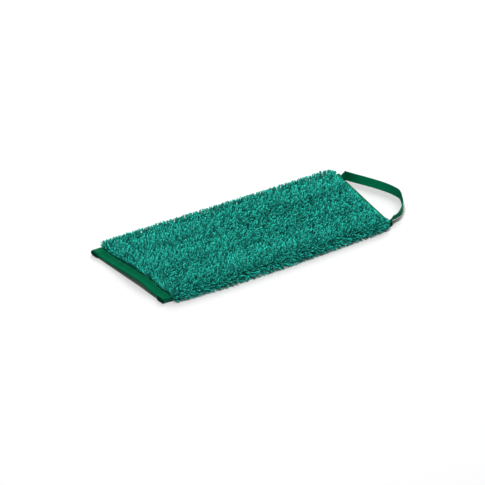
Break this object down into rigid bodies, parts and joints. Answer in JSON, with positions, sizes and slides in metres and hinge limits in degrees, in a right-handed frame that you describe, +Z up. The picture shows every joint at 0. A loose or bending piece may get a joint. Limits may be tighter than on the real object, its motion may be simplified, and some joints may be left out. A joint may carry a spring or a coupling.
{
  "type": "flat mop pad",
  "caption": "Rectangular microfibre flat mop pad with a deep twisted-loop pile, hemmed long sides, bound short ends and a tape pull loop at one end.",
  "frame": {"origin": "centre of the flat face of the backing, which is the face that the pad lies on", "axes": "+X along the pad towards the end with the pull loop, +Y towards the longer of the two long sides, +Z up out of the pile face"},
  "size_m": [0.3616, 0.1445, 0.0135],
  "materials": {
    "pile": "teal-green twisted microfibre loop yarn, soft sheen",
    "ground_cloth": "dark teal-green knitted cloth",
    "backing_velour": "pale grey brushed loop velour",
    "absorbent_core": "off-white needled felt",
    "binding_tape": "dark green smooth woven binding tape, folded over the edge",
    "loop_tape": "dark green ribbed woven tape",
    "thread": "dark green polyester sewing thread"
  },
  "bodies": {
    "pad": {"ground_cloth": "ground_cloth", "backing_velour": "backing_velour", "absorbent_core": "absorbent_core", "binding_left": "binding_tape", "binding_right": "binding_tape", "binding_stitches_left": "thread", "binding_stitches_right": "thread", "hem_stitches_front": "thread", "hem_stitches_back": "thread", "loop_root_front": "loop_tape", "loop_root_back": "loop_tape", "bar_tack_front": "thread", "bar_tack_back": "thread", "pile_side_row_front": "pile", "pile_side_row_back": "pile", "pile_row_01": "pile", "pile_row_02": "pile", "pile_row_03": "pile", "pile_row_04": "pile", "pile_row_05": "pile", "pile_row_06": "pile", "pile_row_07": "pile", "pile_row_08": "pile", "pile_row_09": "pile", "pile_row_10": "pile", "pile_row_11": "pile", "pile_row_12": "pile", "pile_row_13": "pile", "pile_row_14": "pile", "pile_row_15": "pile", "pile_row_16": "pile", "pile_row_17": "pile", "pile_row_18": "pile", "pile_row_19": "pile", "pile_row_20": "pile", "pile_row_21": "pile", "pile_row_22": "pile", "pile_row_23": "pile", "pile_row_24": "pile"},
    "pull_loop": {"pull_loop": "loop_tape", "loop_edge_stitches": "thread"}
  },
  "joints": [
    {"name": "loop_swing", "type": "hinge", "parent": "pad", "child": "pull_loop", "pos_m": [0.1614, 0.00268, 0.0009], "axis": [-0.0743, -0.9972, 0], "range_deg": [-90, 85]}
  ]
}
